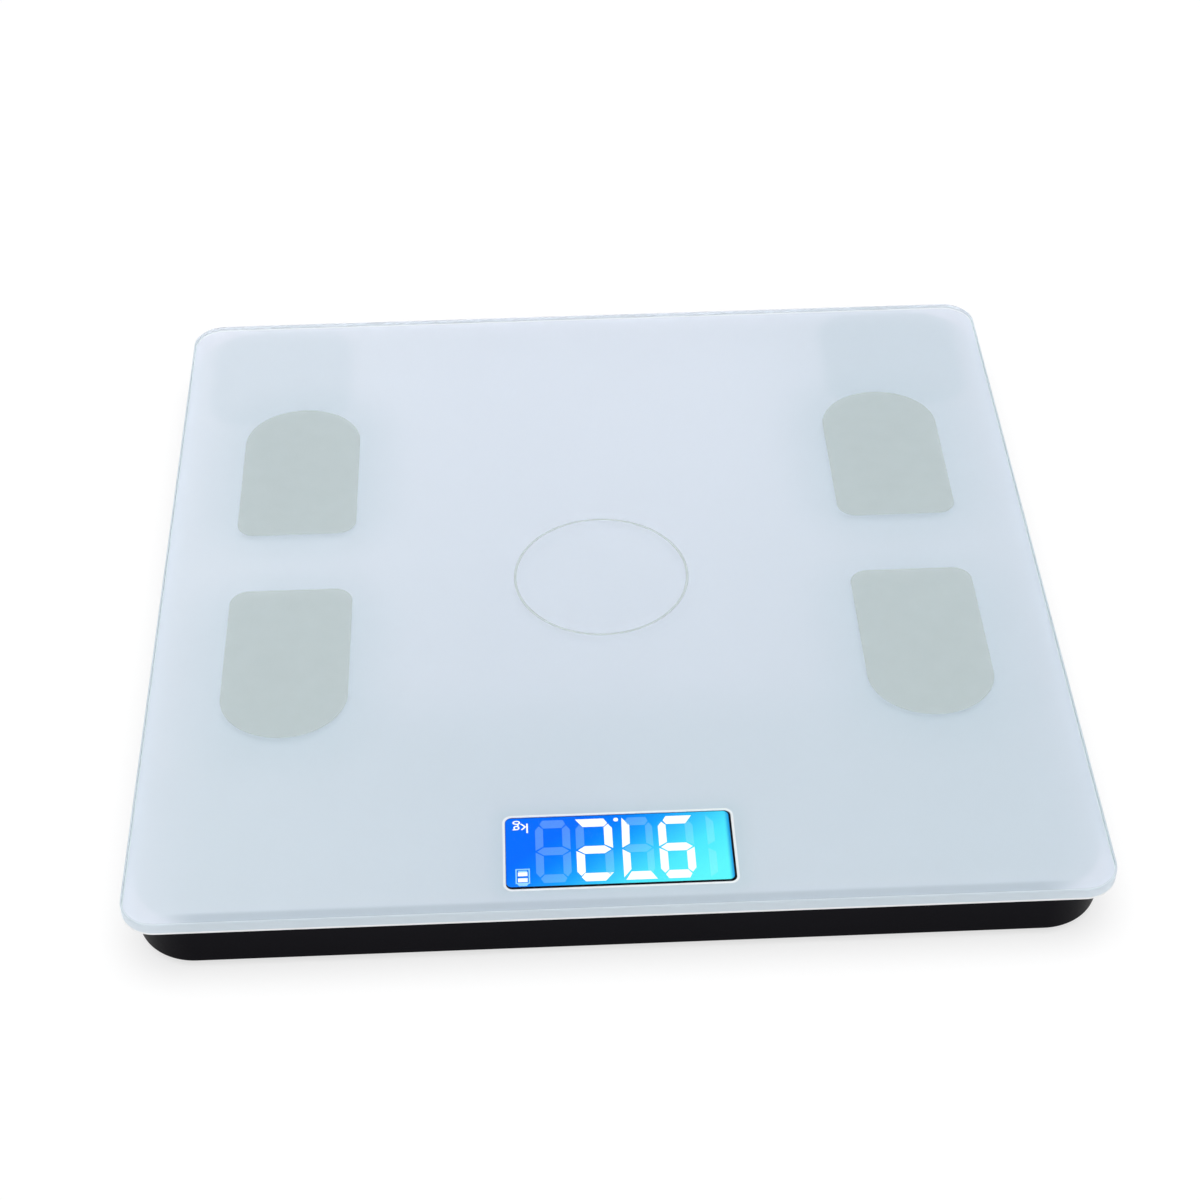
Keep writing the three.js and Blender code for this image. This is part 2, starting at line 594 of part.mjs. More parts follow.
/** The components, which hang from the underside of the board. */
function addComponents() {
  const dome = [[0, -1.3], [2.6, -1.1], [4.2, -0.6], [4.8, 0], [0, 0]];
  add('processor_blob', turned(dome, 20), EPOXY, [0, 100, BOARD_BOTTOM]);
  add('converter_chip', block(-18, 92, 6, 10, BOARD_BOTTOM - 1.5, BOARD_BOTTOM), EPOXY);
  add('wireless_module', block(-22, 112, 16, 12, BOARD_BOTTOM - 1.8, BOARD_BOTTOM), STEEL);
  add('crystal', plate(roundedRect(8, 3.4, 1.6, 8, 110), BOARD_BOTTOM - 2.6, BOARD_BOTTOM,
    { curve: 4 }), SPRING_STEEL);
  add('capacitor', post(22, 112, 2.5, BOARD_BOTTOM - 2.8, BOARD_BOTTOM, 16), EPOXY);
}

function addUnitButton() {
  const r = BUTTON_RADIUS;
  const low = BUTTON_FLANGE_LEVEL - CLEARANCE;
  const high = low + BUTTON_FLANGE_THICKNESS;
  const wide = r + BUTTON_FLANGE;
  const button = [[0, TRAY_BOTTOM + 0.2], [r - 0.4, TRAY_BOTTOM + 0.2], [r, TRAY_BOTTOM + 0.6],
    [r, low], [wide, low], [wide, high], [0, high]];
  add('unit_button', turned(button, 24), GREY_PLASTIC, [BUTTON_X, BUTTON_Y, 0]);

  const stemEnd = high + BUTTON_TRAVEL + TOUCH_GAP;
  const body = block(BUTTON_X, BUTTON_Y, SWITCH_SIDE, SWITCH_SIDE, stemEnd + SWITCH_STEM_LENGTH,
    BOARD_BOTTOM);
  const stem = post(BUTTON_X, BUTTON_Y, SWITCH_STEM_RADIUS, stemEnd, BOARD_BOTTOM - 0.5, 12);
  add('unit_switch', build(body, [stem], []), EPOXY);
}

// ---- Cables -------------------------------------------------------------------------------

/** The leads that run over the ribs from the corners to the board, each in its own lane. */
function addCables() {
  const run = RIB_TOP + CABLE_RADIUS + CLEARANCE;
  const onBoard = BOARD_TOP + CABLE_RADIUS + CLEARANCE;
  const boardRear = BOARD_Y - BOARD_DEPTH / 2;
  const seatEdge = FOOT_X - LOAD_CELL_SIDE / 2 - 0.8;
  for (const [side, sx] of [['left', -1], ['right', 1]]) {
    const wall = sx * seatEdge;
    add(`load_cell_cable_front_${side}`, tube([[wall, FOOT_Y, 9.2], [sx * 70, FOOT_Y, run],
      [sx * 52, 99, run], [sx * 43, 97, onBoard], [sx * 36, 97, onBoard]], CABLE_RADIUS, 10),
    CABLE_GREY);
    add(`load_cell_cable_rear_${side}`, tube([[wall, -FOOT_Y, 9.2], [sx * 72, -FOOT_Y, run],
      [sx * 63, -92, run], [sx * 62, -70, run], [sx * 62, 56, run], [sx * 56, 68, run],
      [sx * 26, 71, run], [sx * 18, 76, run], [sx * 18, boardRear - 2, onBoard + 0.7],
      [sx * 18, boardRear + 3, onBoard]], CABLE_RADIUS, 26), CABLE_GREY);
    addElectrodeLeads(side, sx, run, onBoard, boardRear);
  }
  const bayEdge = BAY_LENGTH / 2 + BAY_WALL + CLEARANCE;
  for (const [name, sx, finish] of [['positive', 1, LEAD_RED], ['negative', -1, LEAD_BLACK]]) {
    add(`power_lead_${name}`, tube([[sx * bayEdge, 24, 9], [sx * 32, 26, run],
      [sx * 35, 36, run], [sx * 22, 54, run], [sx * 11, 66, run],
      [sx * 10, boardRear - 2, onBoard], [sx * 10, boardRear + 3, onBoard]], LEAD_RADIUS, 18),
    finish);
  }
}

/** The two leads of one side, from the electrodes' contacts under the glass to the board. */
function addElectrodeLeads(side, sx, run, onBoard, boardRear) {
  const topEnd = FILM_BOTTOM - 0.3;
  const middle = ELECTRODE_GAP / 2 + ELECTRODE_LENGTH / 2;
  const rearY = ELECTRODE_MIDDLE_Y - middle;
  const frontY = ELECTRODE_MIDDLE_Y + middle;
  add(`electrode_lead_rear_${side}`, tube([[sx * ELECTRODE_X, rearY, topEnd],
    [sx * 89, rearY + 1, 11.5], [sx * 81, rearY + 4, 9.4], [sx * 73, rearY + 8, run],
    [sx * 66, rearY + 22, run], [sx * 66, 58, run], [sx * 60, 72, run], [sx * 30, 75, run],
    [sx * 22, 79, run], [sx * 22, boardRear - 1.6, onBoard + 0.6],
    [sx * 22, boardRear + 3, onBoard]], LEAD_RADIUS, 26), LEAD_WHITE);
  add(`electrode_lead_front_${side}`, tube([[sx * ELECTRODE_X, frontY, topEnd],
    [sx * 89, frontY + 1, 11.5], [sx * 81, frontY + 4, 9.4], [sx * 74, frontY + 9, run],
    [sx * 70, 56, run], [sx * 64, 76, run], [sx * 36, 79, run], [sx * 27, 80, run],
    [sx * 26, boardRear - 0.5, onBoard], [sx * 26, boardRear + 3, onBoard]], LEAD_RADIUS, 20),
    LEAD_WHITE);
}

addPlatform();
addPrint();
addGasket();
addTray();
addDoor();
addBatteries();
addFeet();
addDisplay();
addBoard();
addUnitButton();
addCables();

export default group;
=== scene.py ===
"""Looks of the digital bathroom scale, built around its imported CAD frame.

Everything is in metres in the row frame: +Z up, +Y towards the display edge. Places and sizes come
from the frame's own boxes; the small values below are what the frame doesn't say.
"""
import json
import math

import bmesh
import bpy
from mathutils import Matrix, Vector

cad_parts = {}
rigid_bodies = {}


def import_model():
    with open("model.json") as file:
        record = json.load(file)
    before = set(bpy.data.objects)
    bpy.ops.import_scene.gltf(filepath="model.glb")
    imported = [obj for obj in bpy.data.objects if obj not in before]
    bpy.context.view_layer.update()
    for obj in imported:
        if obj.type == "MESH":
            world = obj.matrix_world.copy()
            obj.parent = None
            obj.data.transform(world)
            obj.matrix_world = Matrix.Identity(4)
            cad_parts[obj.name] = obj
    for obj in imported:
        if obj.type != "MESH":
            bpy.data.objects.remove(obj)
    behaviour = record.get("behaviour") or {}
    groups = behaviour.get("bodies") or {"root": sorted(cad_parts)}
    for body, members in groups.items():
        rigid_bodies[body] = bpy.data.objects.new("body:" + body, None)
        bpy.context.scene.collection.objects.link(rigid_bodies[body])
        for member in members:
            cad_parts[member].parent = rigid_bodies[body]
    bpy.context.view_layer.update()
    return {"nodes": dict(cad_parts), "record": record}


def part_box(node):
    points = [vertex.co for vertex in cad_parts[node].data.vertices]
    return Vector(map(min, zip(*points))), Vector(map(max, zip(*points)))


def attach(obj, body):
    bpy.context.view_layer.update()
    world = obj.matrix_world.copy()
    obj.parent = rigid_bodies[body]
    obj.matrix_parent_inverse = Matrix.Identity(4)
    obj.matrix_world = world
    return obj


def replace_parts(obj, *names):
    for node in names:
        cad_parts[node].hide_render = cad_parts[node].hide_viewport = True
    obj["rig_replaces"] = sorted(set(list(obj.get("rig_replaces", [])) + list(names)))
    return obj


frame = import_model()

MM = 0.001
WHITE = (1.0, 1.0, 1.0, 1.0)
CORNERS = ("front_left", "front_right", "rear_left", "rear_right")
HOUSING = "housing"

# Boxes of the CAD nodes that the looks are worked out from.
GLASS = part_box("glass_platform")
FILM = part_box("printed_backing")
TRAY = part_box("base_tray")
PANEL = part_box("lcd_panel")
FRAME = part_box("lcd_frame")
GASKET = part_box("adhesive_gasket")

# Corner radii and thicknesses, which boxes don't give.
GLASS_CORNER = 9.5 * MM
TRAY_CORNER = 16.5 * MM
TRAY_WALL = 2.4 * MM
ELECTRODE_CORNER = 5.5 * MM
ELECTRODE_ARCH = 16.5 * MM       # how far the arch at the outer end rises
RING_WIDTH = 0.75 * MM

# The clear window in the print, over the display.
WINDOW_SIZE = (60.6 * MM, 25.2 * MM)
WINDOW_MIDDLE = (-0.3 * MM, 107.95 * MM)
WINDOW_CORNER = 1.8 * MM

ARRIS = 0.5 * MM                 # radius of the ground edges of the glass
COATING = 0.04 * MM              # how far the coating stands off the visual glass
EMBED = 0.02 * MM                # how far the ink reaches into the glass, so no gap shows


# ---- Small helpers ------------------------------------------------------------------------

def srgb(red, green, blue):
    """A colour picked on a screen, 0 to 255, as the linear values that shaders take."""
    def linear(value):
        value /= 255
        return value / 12.92 if value <= 0.04045 else ((value + 0.055) / 1.055) ** 2.4
    return (linear(red), linear(green), linear(blue), 1.0)


def middle(box):
    """The centre of a box."""
    return (box[0] + box[1]) / 2


def size(box):
    """The side lengths of a box."""
    return box[1] - box[0]


def fill_ramp(ramp, stops):
    """Gives a colour ramp its (position, linear colour) stops."""
    elements = ramp.color_ramp.elements
    while len(elements) < len(stops):
        elements.new(0.5)
    for element, (position, colour) in zip(elements, stops):
        element.position = position
        element.color = colour


class Paint:
    """A material's node tree, with short calls for the nodes that the finishes below share."""

    def __init__(self, name, roughness=0.5, metallic=0.0):
        self.material = bpy.data.materials.new(name)
        self.material.use_nodes = True
        self.tree = self.material.node_tree
        self.shader = self.tree.nodes["Principled BSDF"]
        self.output = self.tree.nodes["Material Output"]
        self.shader.inputs["Roughness"].default_value = roughness
        self.shader.inputs["Metallic"].default_value = metallic
        self.place = self.node("ShaderNodeTexCoord").outputs["Object"]

    def node(self, kind, **settings):
        """A new node with some of its settings."""
        made = self.tree.nodes.new(kind)
        for name, value in settings.items():
            setattr(made, name, value)
        return made

    def put(self, socket, value):
        """Sets a socket to a number or colour, or links it to another socket."""
        if isinstance(value, bpy.types.NodeSocket):
            self.tree.links.new(value, socket)
        else:
            socket.default_value = value

    def math(self, operation, a, b=0.0):
        """One step of arithmetic on sockets or numbers."""
        made = self.node("ShaderNodeMath", operation=operation)
        self.put(made.inputs[0], a)
        self.put(made.inputs[1], b)
        return made.outputs[0]

    def ramp(self, value, low, high, smooth=True):
        """0 where value is at low or before it, 1 where it's at high or past it."""
        made = self.node("ShaderNodeMapRange", clamp=True,
                         interpolation_type="SMOOTHSTEP" if smooth else "LINEAR")
        self.put(made.inputs["Value"], value)
        made.inputs["From Min"].default_value = low
        made.inputs["From Max"].default_value = high
        return made.outputs["Result"]

    def mix(self, factor, a, b, blend="MIX"):
        """Colour a where factor is 0 and b where it's 1."""
        made = self.node("ShaderNodeMix", data_type="RGBA", blend_type=blend)
        self.put(made.inputs["Factor"], factor)
        self.put(made.inputs["A"], a)
        self.put(made.inputs["B"], b)
        return made.outputs["Result"]

    def over(self, under, where, weight, tint):
        """A colour with `weight` of a tint laid over it wherever `where` is 1."""
        return self.mix(self.math("MULTIPLY", where, weight), under, tint)

    def noise(self, scale, detail, stretch=(1, 1, 1)):
        """Noise with about `scale` lumps to a metre, stretched along the axes."""
        mapping = self.node("ShaderNodeMapping")
        self.put(mapping.inputs["Vector"], self.place)
        mapping.inputs["Scale"].default_value = stretch
        made = self.node("ShaderNodeTexNoise")
        self.put(made.inputs["Vector"], mapping.outputs["Vector"])
        made.inputs["Scale"].default_value = scale
        made.inputs["Detail"].default_value = detail
        return made.outputs["Fac"]

    def axes(self):
        """The x, y and z of the point being shaded."""
        made = self.node("ShaderNodeSeparateXYZ")
        self.put(made.inputs["Vector"], self.place)
        return made.outputs["X"], made.outputs["Y"], made.outputs["Z"]

    def colour(self, value):
        """Sets the base colour."""
        self.put(self.shader.inputs["Base Color"], value)

    def rough(self, noise, low, high):
        """Roughness that wanders between low and high with the noise."""
        made = self.node("ShaderNodeMapRange")
        self.put(made.inputs["Value"], noise)
        made.inputs["From Min"].default_value = 0.3
        made.inputs["From Max"].default_value = 0.7
        made.inputs["To Min"].default_value = low
        made.inputs["To Max"].default_value = high
        self.put(self.shader.inputs["Roughness"], made.outputs["Result"])

    def bump(self, height, depth, strength=1.0):
        """Relief of `depth` metres from a height between 0 and 1."""
        made = self.node("ShaderNodeBump")
        self.put(made.inputs["Height"], height)
        made.inputs["Distance"].default_value = depth
        made.inputs["Strength"].default_value = strength
        self.put(self.shader.inputs["Normal"], made.outputs["Normal"])

    def see_through(self, when):
        """Takes the surface away wherever `when` is 1."""
        made = self.node("ShaderNodeMixShader")
        self.put(made.inputs[0], when)
        self.put(made.inputs[1], self.shader.outputs[0])
        self.put(made.inputs[2], self.node("ShaderNodeBsdfTransparent").outputs[0])
        self.put(self.output.inputs["Surface"], made.outputs[0])

    def off_rect(self, x, y, centre, half, radius):
        """Metres outside a rectangle with round corners, negative inside."""
        qx = self.math("SUBTRACT", self.math("ABSOLUTE", self.math("SUBTRACT", x, centre[0])),
                       half[0] - radius)
        qy = self.math("SUBTRACT", self.math("ABSOLUTE", self.math("SUBTRACT", y, centre[1])),
                       half[1] - radius)
        px = self.math("MAXIMUM", qx, 0.0)
        py = self.math("MAXIMUM", qy, 0.0)
        outside = self.math("SQRT", self.math("ADD", self.math("MULTIPLY", px, px),
                                              self.math("MULTIPLY", py, py)))
        inside = self.math("MINIMUM", self.math("MAXIMUM", qx, qy), 0.0)
        return self.math("SUBTRACT", self.math("ADD", outside, inside), radius)


# ---- Finishes -----------------------------------------------------------------------------

def glass_finish():
    """Clear float glass with a faint green depth, which lets lamps reach the print behind it."""
    p = Paint("toughened_glass_and_painted_rim_light", roughness=0.0)
    p.shader.inputs["IOR"].default_value = 1.52
    x, y, z = p.axes()
    bottom = GLASS[0].z
    side = size(GLASS)

    # The ground rim, and the parts of it low on the front edge and along the rear edge, whose
    # colours are painted light: a near-white painted highlight low on the front edge, and a paler
    # painted highlight along the rear edge, less pale low down.
    rim = p.off_rect(x, y, (0, 0), (side.x / 2, side.y / 2), GLASS_CORNER)
    ground = p.ramp(rim, -ARRIS - 0.1 * MM, -ARRIS + 0.1 * MM)
    lower = p.math("MULTIPLY", p.ramp(z, bottom + 1.1 * MM, bottom + 0.8 * MM),
                   p.ramp(y, 120 * MM, 129 * MM))
    rear = p.ramp(y, -120 * MM, -128.5 * MM)
    under = p.ramp(z, bottom + 0.9 * MM, bottom + 0.5 * MM)

    smudge = p.math("MULTIPLY", p.noise(38, 4), 0.02)
    rough = p.math("MAXIMUM", p.math("MULTIPLY", ground, 0.45), smudge)
    p.put(p.shader.inputs["Roughness"], rough)
    frost = p.math("ADD", p.math("MULTIPLY", lower, 0.35), 0.6)
    frost = p.math("SUBTRACT", frost, p.math("MULTIPLY", rear, 0.25))
    clearness = p.math("SUBTRACT", 1.0, p.math("MULTIPLY", ground, frost))
    p.put(p.shader.inputs["Transmission Weight"], clearness)
    # Painted light on the ground rim: paler along the rear edge and less so low down there, near
    # white low on the front edge.
    tint = p.mix(rear, srgb(220, 230, 236), srgb(250, 252, 255))
    tint = p.mix(p.math("MULTIPLY", rear, under), tint, srgb(228, 232, 238))
    tint = p.mix(lower, tint, srgb(254, 255, 255))
    p.colour(p.mix(ground, WHITE, tint))
    p.see_through(p.node("ShaderNodeLightPath").outputs["Is Shadow Ray"])
    depth = p.node("ShaderNodeVolumeAbsorption")
    depth.inputs["Color"].default_value = (0.55, 0.93, 0.86, 1)
    depth.inputs["Density"].default_value = 8.0
    p.put(p.output.inputs["Volume"], depth.outputs[0])
    return p.material


def print_finish():
    """Cool white ink, with painted light and shade laid over it: a little darker round what
    touches it from behind and over the board, which is painted shade, and other painted shade and
    light across it.
    """
    p = Paint("screen_print_and_painted_light", roughness=0.55)
    x, y, _ = p.axes()

    # Painted light across the platform: paler towards -y and towards +x, darker towards +y and
    # towards -x.
    shade = p.mix(p.ramp(y, -120 * MM, 100 * MM), srgb(219, 222, 232), srgb(208, 213, 223))
    shade = p.over(shade, p.ramp(x, 20 * MM, 130 * MM), 0.2, srgb(234, 238, 242))
    shade = p.over(shade, p.ramp(x, -30 * MM, -100 * MM), 0.2, srgb(194, 206, 214))

    # Painted shade where dark parts lie behind the print: a wide patch round the board, and two
    # load-cell housings.
    board = middle(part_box("main_board"))
    off = p.off_rect(x, y, (board.x, board.y), (105 * MM, 34 * MM), 10 * MM)
    shade = p.over(shade, p.ramp(off, 30 * MM, 0.0), 0.35, srgb(196, 206, 214))
    for corner, depth in (("rear_left", 0.42), ("rear_right", 0.3)):
        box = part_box(f"load_cell_seat_{corner}")
        centre, half = middle(box), size(box) / 2
        off = p.off_rect(x, y, (centre.x, centre.y - 2 * MM), (half.x, half.y + 2 * MM), 12 * MM)
        shade = p.over(shade, p.ramp(off, 2 * MM, -3 * MM), depth, srgb(196, 206, 215))

    # A soft darker halo round the electrodes: painted shade.
    halo = None
    for corner in CORNERS:
        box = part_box(f"electrode_{corner}")
        centre, half = middle(box), size(box) / 2
        off = p.off_rect(x, y, (centre.x, centre.y), (half.x, half.y), 15 * MM)
        halo_shade = p.ramp(off, 20 * MM, -2 * MM)
        halo = halo_shade if halo is None else p.math("MAXIMUM", halo, halo_shade)
    shade = p.over(shade, halo, 0.4, srgb(196, 207, 216))

    # The window: a darker surround, which is painted shade, and its fine pale border.
    off = p.off_rect(x, y, WINDOW_MIDDLE, (WINDOW_SIZE[0] / 2, WINDOW_SIZE[1] / 2),
                     WINDOW_CORNER)
    shade = p.over(shade, p.ramp(off, 6 * MM, 0.8 * MM), 0.38, srgb(188, 202, 210))
    shade = p.mix(p.ramp(off, 0.75 * MM, 0.6 * MM), shade, srgb(240, 238, 240))

    # Painted light: paler past the tray's wall, most of all at the corners, where it is a painted
    # highlight; and painted shade, darker along the front edge.
    tray = size(TRAY)
    edge = p.off_rect(x, y, (0, 0), (tray.x / 2, tray.y / 2), TRAY_CORNER)
    lead_in = p.ramp(edge, -9 * MM, 0)
    outside = p.ramp(edge, -2.2 * MM, 0.4 * MM)
    across, along = p.math("ABSOLUTE", x), p.math("ABSOLUTE", y)
    corner = p.math("MULTIPLY", p.ramp(across, 106 * MM, 119 * MM),
                    p.ramp(along, 106 * MM, 119 * MM))
    reach = p.math("ADD", p.math("MULTIPLY", corner, 0.25), 0.04)
    painted_edge_light = p.math("ADD", p.math("MULTIPLY", lead_in, 0.08), p.math("MULTIPLY", outside, reach))
    shade = p.mix(painted_edge_light, shade, srgb(236, 233, 244))
    # Painted shade along the front edge.
    front = p.math("MULTIPLY", p.ramp(y, 124 * MM, 125.6 * MM),
                   p.ramp(across, 122 * MM, 108 * MM))
    shade = p.over(shade, front, 0.85, srgb(181, 189, 199))

    p.colour(p.over(shade, p.noise(900, 3), 0.03, srgb(180, 195, 205)))
    return p.material


def coating_finish():
    """The see-through conductive coating: a thin grey-green film with a soft gloss."""
    p = Paint("conductive_coating", roughness=0.12)
    mottle = p.noise(160, 5)
    p.colour(p.mix(mottle, srgb(195, 205, 202), srgb(201, 211, 208)))
    p.shader.inputs["Alpha"].default_value = 0.42
    p.rough(p.noise(420, 2), 0.08, 0.18)
    return p.material


def moulded_finish(name, tint, light, gloss, shine=0.5):
    """Spark-eroded moulded plastic: a fine even grain, slight sheen changes, paler to the top,
    which is painted light.
    """
    p = Paint(name, roughness=gloss)
    fine = p.noise(2600, 2)
    broad = p.noise(24, 3)
    _, _, z = p.axes()
    # Painted light: the colour leans to the paler tone towards the top of the tray's height.
    height = p.ramp(z, TRAY[0].z + 2 * MM, TRAY[1].z)
    p.colour(p.mix(p.math("MULTIPLY", p.math("ADD", broad, height), 0.5), tint, light))
    p.rough(fine, gloss - 0.06, gloss + 0.10)
    p.bump(fine, 0.035 * MM, 0.7)
    p.shader.inputs["Specular IOR Level"].default_value = shine
    return p.material


def rubber_finish():
    """Matt black rubber with a slight bloom."""
    p = Paint("foot_rubber", roughness=0.85)
    bloom = p.noise(210, 5)
    p.colour(p.mix(bloom, srgb(24, 24, 25), srgb(46, 46, 47)))
    p.bump(p.noise(4200, 2), 0.03 * MM, 0.6)
    return p.material


def metal_finish(name, tint, dark, low, high, stretch):
    """Rolled or drawn metal, with lines along one axis."""
    p = Paint(name, metallic=1.0)
    lines = p.noise(900, 4, stretch)
    p.colour(p.over(tint, p.noise(60, 3), 0.5, dark))
    p.rough(lines, low, high)
    p.bump(lines, 0.01 * MM, 0.35)
    return p.material


def foam_finish():
    """Closed-cell foam tape, near black, which is partly its own colour and partly painted shade
    for the gap under the glass.
    """
    p = Paint("foam_tape_and_painted_gap_shade", roughness=0.95)
    cells = p.node("ShaderNodeTexVoronoi")
    p.put(cells.inputs["Vector"], p.place)
    cells.inputs["Scale"].default_value = 3200
    # Near black: painted shade of the gap under the glass on top of the foam's own dark colour.
    p.colour(p.mix(cells.outputs["Distance"], srgb(2, 2, 3), srgb(12, 12, 13)))
    p.shader.inputs["Specular IOR Level"].default_value = 0.1
    p.bump(cells.outputs["Distance"], 0.06 * MM)
    return p.material


def board_finish():
    """Green solder mask over copper tracks."""
    p = Paint("solder_mask", roughness=0.35)
    tracks = p.node("ShaderNodeTexBrick")
    p.put(tracks.inputs["Vector"], p.place)
    tracks.inputs["Scale"].default_value = 260
    tracks.inputs["Mortar Size"].default_value = 0.05
    tracks.inputs["Color1"].default_value = srgb(18, 84, 46)
    tracks.inputs["Color2"].default_value = srgb(14, 74, 42)
    tracks.inputs["Mortar"].default_value = srgb(38, 120, 62)
    p.colour(p.over(tracks.outputs["Color"], p.noise(45, 3), 0.4, srgb(10, 58, 34)))
    p.bump(tracks.outputs["Fac"], 0.03 * MM, 0.6)
    p.shader.inputs["Coat Weight"].default_value = 0.4
    return p.material


def epoxy_finish():
    """Black moulding compound."""
    p = Paint("moulding_compound", roughness=0.3)
    speck = p.noise(1500, 3)
    p.colour(p.mix(speck, srgb(16, 16, 18), srgb(34, 34, 37)))
    p.rough(speck, 0.25, 0.45)
    return p.material


def wire_finish(name, tint):
    """Soft plastic wire insulation."""
    p = Paint(name, roughness=0.5)
    wear = p.noise(300, 3)
    darker = tuple(0.75 * value for value in tint[:3]) + (1,)
    p.colour(p.mix(wear, darker, tint))
    p.rough(wear, 0.42, 0.6)
    return p.material


def guide_finish():
    """The clear, lit light guide, with its printed dots."""
    p = Paint("light_guide", roughness=0.2)
    dots = p.node("ShaderNodeTexVoronoi")
    p.put(dots.inputs["Vector"], p.place)
    dots.inputs["Scale"].default_value = 900
    spot = p.ramp(dots.outputs["Distance"], 0.35, 0.3)
    p.colour(p.mix(spot, srgb(190, 222, 250), srgb(244, 250, 255)))
    p.shader.inputs["Emission Color"].default_value = srgb(60, 150, 255)
    p.shader.inputs["Emission Strength"].default_value = 0.4
    return p.material


def strip_finish():
    """The elastomer connector: thin dark conductive layers in pale rubber."""
    p = Paint("connector_elastomer", roughness=0.7)
    bands = p.node("ShaderNodeTexWave", wave_type="BANDS", bands_direction="X")
    p.put(bands.inputs["Vector"], p.place)
    bands.inputs["Scale"].default_value = 900
    p.colour(p.mix(bands.outputs["Fac"], srgb(40, 40, 42), srgb(188, 184, 176)))
    return p.material


def sleeve_finish():
    """The plain sleeve of a cell: dark along most of it, with a metallic band at one end."""
    p = Paint("cell_sleeve", roughness=0.28)
    x, _, _ = p.axes()
    streak = p.noise(120, 3)
    band = p.ramp(p.math("ABSOLUTE", x), 11.0 * MM, 11.2 * MM)
    body = p.mix(streak, srgb(26, 34, 44), srgb(36, 46, 58))
    p.colour(p.mix(band, body, srgb(176, 132, 74)))
    p.put(p.shader.inputs["Metallic"], p.math("MULTIPLY", band, 0.8))
    p.rough(streak, 0.22, 0.34)
    return p.material


def display_colour(p):
    """The backlight's colour: cyan at the lamp's end, deep blue away from it."""
    x, y, _ = p.axes()
    centre, reach = middle(PANEL).y, WINDOW_SIZE[1] / 2
    along = p.ramp(x, -30 * MM, 30 * MM, smooth=False)
    across = p.ramp(y, centre + reach, centre - reach, smooth=False)
    value = p.math("ADD", p.math("MULTIPLY", along, 0.86), p.math("MULTIPLY", across, 0.45))
    ramp = p.node("ShaderNodeValToRGB")
    p.put(ramp.inputs["Fac"], value)
    fill_ramp(ramp, ((0.16, srgb(96, 252, 255)), (0.39, srgb(78, 236, 255)),
                     (0.56, srgb(50, 198, 255)), (0.68, srgb(22, 165, 255)),
                     (0.84, srgb(0, 130, 255)), (1.0, srgb(0, 110, 255))))
    # A darker strip at the lamp's end: painted shade of the edge of the recess that the panel sits
    # in.
    end = p.ramp(x, -28.7 * MM, -30.0 * MM)
    return p.over(ramp.outputs["Color"], end, 0.85, srgb(20, 140, 225))


def lit_finish(name, pale, strength, tint=WHITE):
    """A display surface that shines: the backlight's colour with `pale` of the tint in it."""
    p = Paint(name, roughness=0.35)
    shine = p.mix(pale, display_colour(p), tint)
    cells = p.math("MULTIPLY", p.noise(700, 2), 0.12)
    shimmer = p.mix(cells, shine, (0.55, 0.62, 0.8, 1.0), "MULTIPLY")
    p.colour((0.001, 0.004, 0.015, 1))
    p.shader.inputs["Specular IOR Level"].default_value = 0.02
    p.put(p.shader.inputs["Emission Color"], shimmer)
    p.shader.inputs["Emission Strength"].default_value = strength
    return p.material


def floor_finish():
    """A plain pale floor, which is only there from above, so that it never hides the underside."""
    p = Paint("pale_floor", roughness=0.8)
    p.colour(p.mix(p.noise(6, 4), (0.34, 0.34, 0.34, 1), (0.36, 0.36, 0.36, 1)))
    p.shader.inputs["Specular IOR Level"].default_value = 0.1

    # It glows a little, more so far off, where it meets the backdrop.
    away = p.node("ShaderNodeVectorMath", operation="LENGTH")
    p.put(away.inputs[0], p.place)
    tone = p.mix(p.ramp(away.outputs["Value"], 0.5, 3.5), (0.70, 0.70, 0.70, 1),
                 (0.86, 0.87, 0.88, 1))
    p.put(p.shader.inputs["Emission Color"], tone)
    p.shader.inputs["Emission Strength"].default_value = 1.0
    p.see_through(p.node("ShaderNodeNewGeometry").outputs["Backfacing"])
    return p.material


# Darker and paler tones of the moulded plastics; the paler one shows at random and, as painted
# light, towards the top.
BLACK = (srgb(2, 1, 7), srgb(11, 10, 17))
GREY = (srgb(52, 54, 58), srgb(66, 68, 72))
FINISHES = {
    "glass": glass_finish(),
    "white_print": print_finish(),
    "electrode_coating": coating_finish(),
    "gasket_foam": foam_finish(),
    "black_plastic": moulded_finish("black_abs", *BLACK, 0.38, 0.04),
    "grey_plastic": moulded_finish("grey_abs", *GREY, 0.5),
    "rubber": rubber_finish(),
    "steel": metal_finish("stamped_steel", srgb(186, 188, 190), srgb(140, 143, 146), 0.28, 0.45,
                          (1, 0.05, 1)),
    "spring_steel": metal_finish("plated_steel", srgb(214, 214, 212), srgb(180, 178, 170), 0.15,
                                 0.3, (1, 1, 1)),
    "battery_sleeve": sleeve_finish(),
    "circuit_board": board_finish(),
    "epoxy": epoxy_finish(),
    "lcd_face": lit_finish("display_field", 0.0, 1.1),
    "light_guide": guide_finish(),
    "led": moulded_finish("led_body", srgb(236, 236, 214), srgb(250, 250, 236), 0.35),
    "elastomer": strip_finish(),
    "cable_grey": wire_finish("cable_sheath", srgb(150, 153, 156)),
    "lead_white": wire_finish("white_wire", srgb(226, 226, 220)),
    "lead_red": wire_finish("red_wire", srgb(176, 36, 30)),
    "lead_black": wire_finish("black_wire", srgb(24, 24, 25)),
}
SLOT_OF = {row["node"]: row["material_slot"] for row in frame["record"]["subparts"]}
BODY_OF = {node: body for body, nodes in frame["record"]["behaviour"]["bodies"].items()
           for node in nodes}


# ---- Mesh building ------------------------------------------------------------------------

